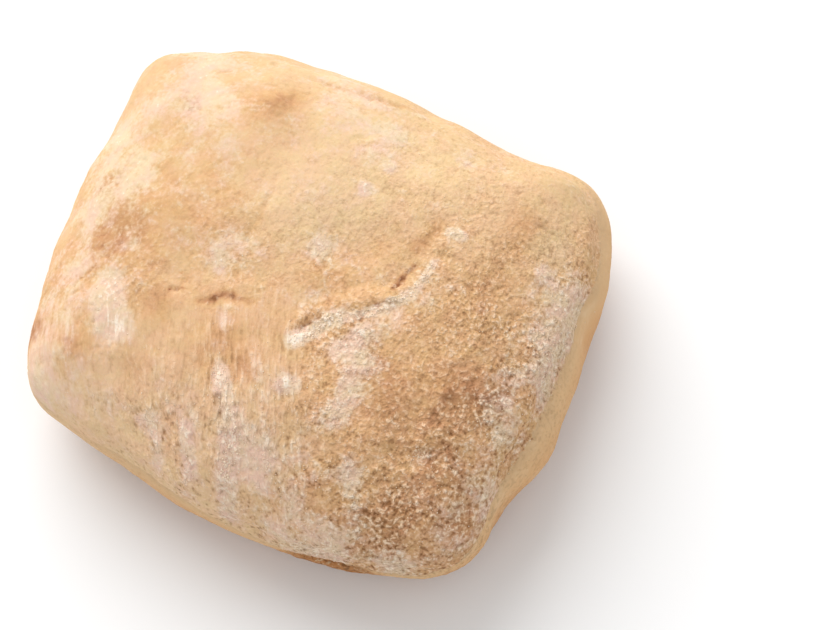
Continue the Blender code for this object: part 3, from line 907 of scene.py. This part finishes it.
def crustColour(maker, look, grains, texture):  # toasted dough under flour, with crumbs, and with pits and cracks darkened partly by painted shade
    speck, rough = texture["speck"], texture["rough"]
    tone = maker.attribute("toast") + texture["broad"] * look["toastBroad"]
    tone = tone + texture["patchy"] * look["toastPatchy"]
    tone = tone + (maker.attribute("grain") - look["toastGrainFrom"]) * look["toastGrain"]
    # painted shade in the skin-line furrows and pores
    tone = tone + maker.attribute("skinLine") * look["shadeInLines"]
    tone = tone + maker.attribute("pore") * look["shadeInPores"]
    dough = maker.node("ShaderNodeValToRGB", {"stops": look["dough"]}, {"Fac": tone})

    blush = maker.attribute("blush")
    hue = maker.smooth(texture["hue"], *look["hueRange"])
    cover = maker.attribute("flourCover") + texture["mottle"] * look["flourMottle"]
    flour = maker.smooth(cover + speck * look["flourSpeck"], *look["flourRange"])
    thick = maker.smooth(cover + speck * look["thickSpeck"], *look["thickRange"])
    powder = maker.mix(hue + blush * look["blushInFlour"], look["flour"], look["pinkFlour"])
    tint = 0.5 + (hue - 0.5) * look["hueInTint"] + blush * look["blushInTint"]
    tint = maker.mix(tint, look["yellowTint"], look["pinkTint"])
    colour = maker.mix(flour * look["flourThickness"], dough, powder)
    colour = maker.mix(1.0, colour, tint, "MULTIPLY")
    colour = maker.mix(thick, colour, look["thickFlour"])

    crumbs = maker.smooth(speck, *grains["crumbRange"]) * rough * grains["crumbStrength"]
    crumbPale = maker.mix(flour, grains["doughCrumb"], grains["flourCrumb"])
    colour = maker.mix(crumbs, colour, crumbPale)
    # darker where the relief is low: painted shade in pits and cracks, partly browner crust
    pitsAndShade = maker.smooth(speck * -1.0, *grains["pitAndShadeRange"])
    pitsAndShade = pitsAndShade * (grains["pitAndShadeStrength"] - flour * grains["pitsAndShadeLostInFlour"])
    pitsAndShade = (pitsAndShade + texture["crack"] * grains["crackAndShadeStrength"]) * rough
    return maker.mix(pitsAndShade, colour, maker.mix(flour, grains["doughPitAndShade"], grains["flourPitAndShade"]))


def bandColour(maker, look, texture):  # the stretched band's colour, with painted shade in the gap under the front lip, and where the band shows
    speck, mottle, clumps = texture["speck"], texture["mottle"], texture["clumps"]
    brown = maker.attribute("bandBrown")
    down = maker.attribute("downBand") + texture["patchy"] * look["patchyDown"]
    colour = maker.node("ShaderNodeValToRGB", {"stops": look["colours"]}, {"Fac": down})
    toasted = brown + down * look["toastDown"] + mottle * look["toastMottle"]
    colour = maker.mix(maker.smooth(toasted, *look["toastRange"]), colour, look["toasted"])
    pale = maker.smooth(mottle, *look["paleRange"]) * look["paleStrength"]
    colour = maker.mix(pale, colour, look["pale"])
    colour = maker.mix(maker.smooth(speck, *look["crumbRange"]) * brown, colour, look["pale"])
    # painted shade in the band's pits, partly browner crust
    colour = maker.mix(maker.smooth(speck * -1.0, *look["pitAndShadeRange"]) * brown, colour, look["pitAndShade"])
    # the gap under the front lip is painted dark, as its shade
    gapAndShadeHere = maker.smooth(mottle + clumps * look["gapShadeClumps"], *look["gapShadeRange"])
    gapAndShadeHere = maker.attribute("gap") * gapAndShadeHere * look["gapShadeStrength"]
    colour = maker.mix(gapAndShadeHere, colour, look["gap"])
    edge = maker.smooth(maker.attribute("underEdge") + clumps * look["raggedness"], *look["edgeRange"])
    return colour, edge * maker.smooth(maker.attribute("bandClear") + mottle, *look["clearRange"])


def crustMaterial(look, grains, belt, finish):
    material, shader = newMaterial("bakedCrust", finish)
    maker = NodeMaker(material.node_tree)
    texture = grainTextures(maker, grains, maker.node("ShaderNodeTexCoord", out="Object"))
    colour = crustColour(maker, look, grains, texture)
    stretched, stretchedHere = bandColour(maker, belt, texture)
    maker.feed(shader.inputs["Base Color"], maker.mix(stretchedHere, colour, stretched))

    band = maker.attribute("band")
    rise = texture["clumps"] + texture["crumbs"] * grains["bumpCrumbs"]
    rise = rise - texture["crack"] * grains["bumpCracks"]
    inBand = maker.attribute("bandBrown") * band * grains["bumpInBrown"]
    rise = rise * (texture["rough"] * (1 - band * grains["bumpLostInBand"]) + inBand)
    sockets = {"Strength": 1.0, "Distance": grains["bumpDepth"], "Height": rise}
    maker.feed(shader.inputs["Normal"], maker.node("ShaderNodeBump", sockets=sockets))
    return material


# the crust

def fitted(mesh, low, high):  # the mesh stretched to fill a box
    places = np.empty(len(mesh.vertices) * 3)
    mesh.vertices.foreach_get("co", places)
    places = places.reshape(-1, 3)
    least, most = places.min(axis=0), places.max(axis=0)
    places = low + (places - least) / (most - least) * (high - low)
    mesh.vertices.foreach_set("co", places.ravel())
    mesh.update()


crustThing = addObject("crustShell", crustMesh)
bakedCrust = crustMaterial(crustLook, grainLook, bandLook, crustFinish)
reliefSizes = {**relief, **markObjects, "Material": bakedCrust}
crustFine = grown(crustThing, reliefTree(reliefSizes), reliefSizes)
bpy.data.objects.remove(crustThing)
for thing in markObjects.values():
    bpy.data.objects.remove(thing)
room = shell["grainRoom"] * mm
low, high = (np.array(corner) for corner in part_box(shell["node"]))
fitted(crustFine, low + (room, room, 0), high - room)
crust = addObject("ciabattaCrust", crustFine)
print("crust:", len(crustFine.polygons), "faces")


# flour and crumbs standing on the crust

flourShape = {  # what the kinds of flour share unless they say otherwise
    "Lowest": 8.0 * mm,
    "Width": 0.8,  # share of a grain's length
    "Flatness": 0.7,
    "Grain from": 0.2,  # of the crust's grain, where flour begins to stand
    "Grain to": 1.0,
    "Ridges only": 0.0,
    "Ridge from": 0.15,
    "Ridge to": 0.7,
    "Band clear": 0.97,  # share of the grains that the smooth band sheds
}
flourKinds = {
    "flourClumps": {
        "Colour": screen(234, 212, 188),
        "Density": 2.4e6,  # grains on a square metre where flour lies thick
        "Least radius": 0.10 * mm,
        "Most radius": 0.34 * mm,
        "Cover from": 0.65,
        "Cover to": 1.1,
        "Ridges only": 1.0,
        "Patch size": 1.1 * mm,
        "Seed": 23,
    },
    "paleFlour": {
        "Colour": screen(232, 214, 192),
        "Density": 1.5e6,
        "Least radius": 0.08 * mm,
        "Most radius": 0.17 * mm,
        "Cover from": 0.35,
        "Cover to": 1.0,
        "Patch size": 1.6 * mm,
        "Seed": 21,
    },
    "creamFlour": {
        "Colour": screen(222, 196, 164),
        "Density": 1.2e6,
        "Least radius": 0.08 * mm,
        "Most radius": 0.18 * mm,
        "Flatness": 0.75,
        "Cover from": 0.2,
        "Cover to": 0.9,
        "Patch size": 2.4 * mm,
        "Seed": 22,
    },
}
flourTilt = 0.6  # radians
flourFinish = {"Roughness": 0.95, "Specular IOR Level": 0.15}


def flourTree(name, sizes):
    maker, size = geometryTree(name, sizes)
    place = maker.node("GeometryNodeInputPosition")
    height = maker.node("ShaderNodeSeparateXYZ", sockets={"Vector": place}, out="Z")
    patchy = maker.noise(place, size["Patch size"], 2.0, seed=size["Seed"]) - 0.5
    thick = maker.smooth(maker.attribute("flourCover") + patchy, size["Cover from"], size["Cover to"])
    grainy = maker.smooth(maker.attribute("grain"), size["Grain from"], size["Grain to"])
    onRidge = maker.smooth(maker.attribute("ridge"), size["Ridge from"], size["Ridge to"])
    grainy = grainy * (1 - size["Ridges only"]) + onRidge * size["Ridges only"]
    free = maker.smooth(height, size["Lowest"], size["Lowest"] * 2)
    free = free * (1 - maker.attribute("band") * size["Band clear"])
    density = size["Density"] * thick * grainy * free
    points = maker.node(
        "GeometryNodeDistributePointsOnFaces",
        sockets={"Mesh": size["Geometry"], "Density": density, "Seed": size["Seed"]},
    )
    facing = Wire(maker, points.socket.node.outputs["Rotation"])
    turn = maker.node(
        "FunctionNodeRandomValue", {"data_type": "FLOAT_VECTOR"},
        {0: (-flourTilt, -flourTilt, 0.0), 1: (flourTilt, flourTilt, math.tau), "Seed": size["Seed"]},
    )
    turned = maker.node("FunctionNodeRotateRotation", {"rotation_space": "LOCAL"}, {
        "Rotation": facing,
        "Rotate By": maker.node("FunctionNodeEulerToRotation", sockets={"Euler": turn}),
    })
    radius = maker.node(
        "FunctionNodeRandomValue", {"data_type": "FLOAT"},
        {2: size["Least radius"], 3: size["Most radius"], "Seed": size["Seed"]}, 1,
    )
    radii = {"X": radius, "Y": radius * size["Width"], "Z": radius * size["Flatness"]}
    shape = maker.node("ShaderNodeCombineXYZ", sockets=radii)
    bead = maker.node("GeometryNodeMeshIcoSphere", sockets={"Radius": 1.0, "Subdivisions": 1})
    grains = maker.node(
        "GeometryNodeInstanceOnPoints",
        sockets={"Points": points, "Instance": bead, "Rotation": turned, "Scale": shape},
    )
    smooth = maker.node("GeometryNodeSetShadeSmooth", sockets={"Geometry": grains})
    return closeTree(maker, smooth, size["Material"])


flourPieces = []
for name, settings in flourKinds.items():
    sizes = {**flourShape, **settings}
    colour = sizes.pop("Colour")
    sizes["Material"] = newMaterial(name, {**flourFinish, "Base Color": colour})[0]
    flourMesh = grown(crust, flourTree(name, sizes), sizes)
    flourPieces.append(addObject(name, flourMesh))
    print(name + ":", len(flourMesh.polygons), "faces")


# camera, light and floor

view = {
    "lens": 85,  # mm, like the sensor's width
    "sensor": 36,
    "picture": (840, 630),
    "azimuth": 27,  # degrees from +X to where the picture's right points
    "elevation": 70,  # degrees that the camera looks down
    "distance": 414,  # mm
    "target": (0, 0, 18),  # mm
    "targetInPicture": (315.5, 305.2),  # pixels from the upper left
}
light = {
    "sunAzimuth": 141,  # degrees from +X, towards the light
    "sunElevation": 36,
    "sunStrength": 2.66,
    "sunSpread": 58,  # degrees, wide enough for soft shadows
    "skyStrength": 0.72,
    "skyColour": (1, 1, 1, 1),
}
floorSize = 12.0  # metres
floorFinish = {"Base Color": (0.9, 0.9, 0.9, 1.0), "Roughness": 0.8}


def direction(azimuth, elevation):  # the unit vector of two angles in degrees
    turn, lift = math.radians(azimuth), math.radians(elevation)
    return Vector((math.cos(turn) * math.cos(lift), math.sin(turn) * math.cos(lift), math.sin(lift)))


def placeCamera(settings):
    back = direction(settings["azimuth"] - 90, settings["elevation"])
    right = direction(settings["azimuth"], 0)
    up = back.cross(right)
    wide, high = settings["picture"]
    perPixel = settings["distance"] * settings["sensor"] / settings["lens"] / wide
    x, y = settings["targetInPicture"]
    spot = Vector(settings["target"]) + back * settings["distance"]
    spot += up * (y - high / 2) * perPixel - right * (x - wide / 2) * perPixel
    data = bpy.data.cameras.new("camera")
    data.lens = settings["lens"]
    data.sensor_width = settings["sensor"]
    camera = addObject("camera", data)
    turned = Matrix((right, up, back)).transposed().to_4x4()
    camera.matrix_world = Matrix.Translation(spot * mm) @ turned
    bpy.context.scene.camera = camera


def lightStage(settings):
    data = bpy.data.lights.new("sun", "SUN")
    data.energy = settings["sunStrength"]
    data.angle = math.radians(settings["sunSpread"])
    lamp = addObject("sun", data)
    lamp.rotation_mode = "QUATERNION"
    towards = direction(settings["sunAzimuth"], settings["sunElevation"])
    lamp.rotation_quaternion = towards.to_track_quat("Z", "Y")
    world = bpy.data.worlds.new("sky")
    world.use_nodes = True
    sky = world.node_tree.nodes["Background"]
    sky.inputs["Strength"].default_value = settings["skyStrength"]
    sky.inputs["Color"].default_value = settings["skyColour"]
    bpy.context.scene.world = world
    bpy.context.scene.view_settings.view_transform = "Standard"


def layFloor(size, finish):
    mesh = bpy.data.meshes.new("floor")
    half = size / 2
    corners = [(-half, -half, 0), (half, -half, 0), (half, half, 0), (-half, half, 0)]
    mesh.from_pydata(corners, [], [(0, 1, 2, 3)])
    mesh.materials.append(newMaterial("paleFloor", finish)[0])
    floor = addObject("floor", mesh)


placeCamera(view)
lightStage(light)
layFloor(floorSize, floorFinish)
print("camera, light and floor placed")


# hand the pieces to the frame

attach(crust, "root")
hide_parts(shell["node"])
for piece in flourPieces:
    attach(piece, "root")
print("pieces ride on the frame")
